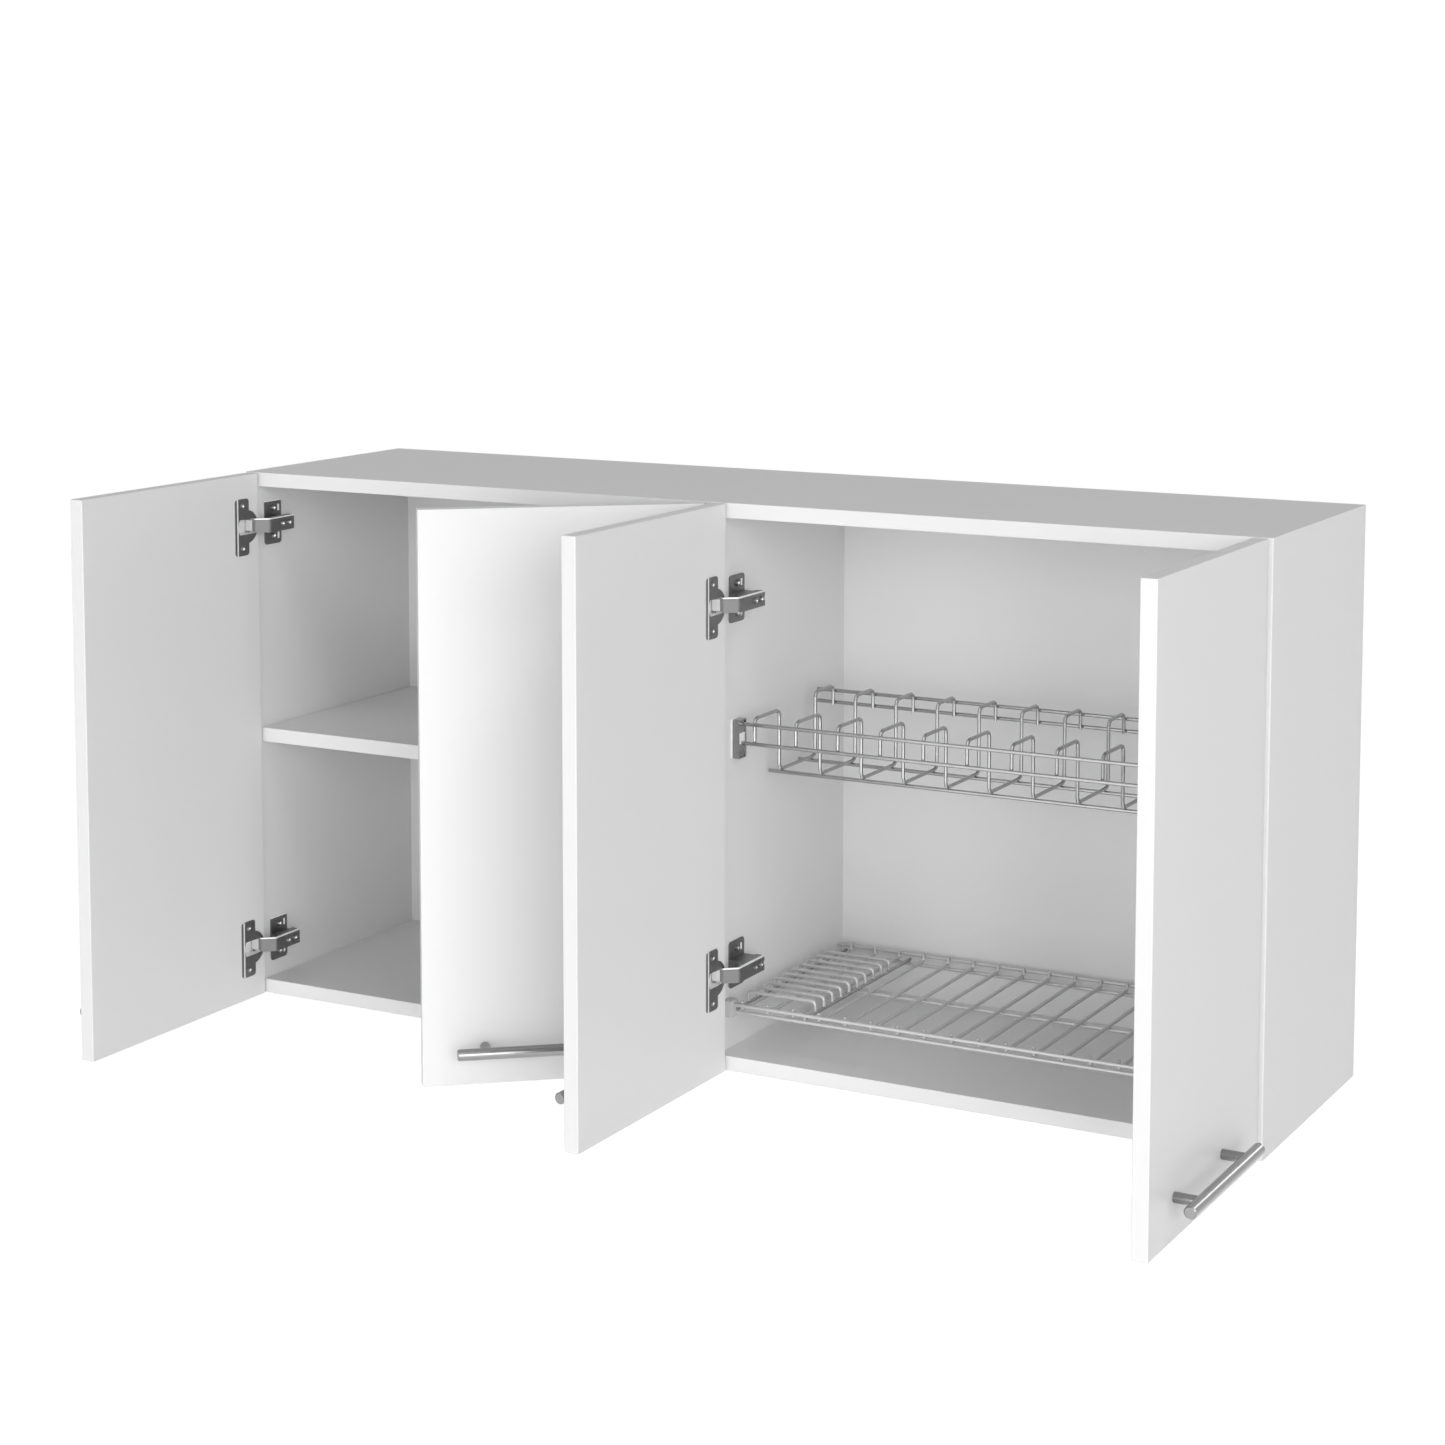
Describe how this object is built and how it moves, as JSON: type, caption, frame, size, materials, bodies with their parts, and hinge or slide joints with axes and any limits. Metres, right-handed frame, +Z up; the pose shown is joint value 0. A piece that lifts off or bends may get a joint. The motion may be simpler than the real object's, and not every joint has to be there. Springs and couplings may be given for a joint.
{
  "type": "kitchen wall cabinet",
  "caption": "Wide kitchen wall cabinet in pale melamine with hinged doors, bar handles, a divider, a shelf, a wire plate rack and a wire glass rack.",
  "frame": {"origin": "middle of the cabinet's back in width and height, on the wall plane", "axes": "+X along the width to the right seen from the front, +Y into the wall, +Z up"},
  "size_m": [1.259, 0.6008, 0.6],
  "materials": {
    "melamine": "satin, pale grey white",
    "door_melamine": "satin, pale grey white",
    "back_board": "thin board painted pale grey white",
    "rail_board": "satin, pale grey white",
    "beech": "plain, turned",
    "zinc_casting": "plated zinc",
    "plated_steel": "plated, satin",
    "hinge_steel": "nickel plated, satin",
    "handle_steel": "satin, brushed along the bar",
    "rack_wire": "chromed wire",
    "bracket_chrome": "polished",
    "white_plastic": "moulded",
    "grey_plastic": "moulded"
  },
  "bodies": {
    "carcass": {"left_side_panel": "melamine", "right_side_panel": "melamine", "centre_divider": "melamine", "top_panel": "melamine", "bottom_panel": "melamine", "left_back_panel": "back_board", "right_back_panel": "back_board", "left_hanging_rail": "rail_board", "right_hanging_rail": "rail_board", "shelf": "melamine", "shelf_pins": "plated_steel", "cam_discs": "zinc_casting", "cam_bolts": "plated_steel", "dowels": "beech", "back_nails": "plated_steel", "door_1_mounting_plates": "hinge_steel", "door_2_mounting_plates": "hinge_steel", "door_3_mounting_plates": "hinge_steel", "door_4_mounting_plates": "hinge_steel", "plate_screws": "plated_steel", "door_1_hinge_arms": "hinge_steel", "door_2_hinge_arms": "hinge_steel", "door_3_hinge_arms": "hinge_steel", "door_4_hinge_arms": "hinge_steel", "arm_screws": "plated_steel", "plate_rack_rails": "rack_wire", "plate_rack_cross_wires": "rack_wire", "plate_rack_brackets": "bracket_chrome", "plate_rack_inserts": "white_plastic", "glass_rack_rails": "rack_wire", "glass_rack_depth_wires": "rack_wire", "glass_rack_saucer_wires": "rack_wire", "glass_rack_end_wires": "rack_wire", "glass_rack_clips": "grey_plastic"},
    "door_1": {"door_1_panel": "door_melamine", "door_1_handle_bar": "handle_steel", "door_1_handle_posts": "handle_steel", "door_1_hinge_cups": "hinge_steel", "door_1_cup_screws": "plated_steel", "door_1_hinge_pins": "plated_steel"},
    "door_2": {"door_2_panel": "door_melamine", "door_2_handle_bar": "handle_steel", "door_2_handle_posts": "handle_steel", "door_2_hinge_cups": "hinge_steel", "door_2_cup_screws": "plated_steel", "door_2_hinge_pins": "plated_steel"},
    "door_3": {"door_3_panel": "door_melamine", "door_3_handle_bar": "handle_steel", "door_3_handle_posts": "handle_steel", "door_3_hinge_cups": "hinge_steel", "door_3_cup_screws": "plated_steel", "door_3_hinge_pins": "plated_steel"},
    "door_4": {"door_4_panel": "door_melamine", "door_4_handle_bar": "handle_steel", "door_4_handle_posts": "handle_steel", "door_4_hinge_cups": "hinge_steel", "door_4_cup_screws": "plated_steel", "door_4_hinge_pins": "plated_steel"}
  },
  "joints": [
    {"name": "door_1_hinge", "type": "hinge", "parent": "carcass", "child": "door_1", "pos_m": [-0.5895, -0.3122, 0], "axis": [0, 0, -1], "range_deg": [-90, 5]},
    {"name": "door_2_hinge", "type": "hinge", "parent": "carcass", "child": "door_2", "pos_m": [-0.0105, -0.3122, 0], "axis": [0, 0, 1], "range_deg": [-39.5, 4]},
    {"name": "door_3_hinge", "type": "hinge", "parent": "carcass", "child": "door_3", "pos_m": [0.0105, -0.3122, 0], "axis": [0, 0, -1], "range_deg": [-90, 0]},
    {"name": "door_4_hinge", "type": "hinge", "parent": "carcass", "child": "door_4", "pos_m": [0.5895, -0.3122, 0], "axis": [0, 0, 1], "range_deg": [-90, 5]}
  ]
}
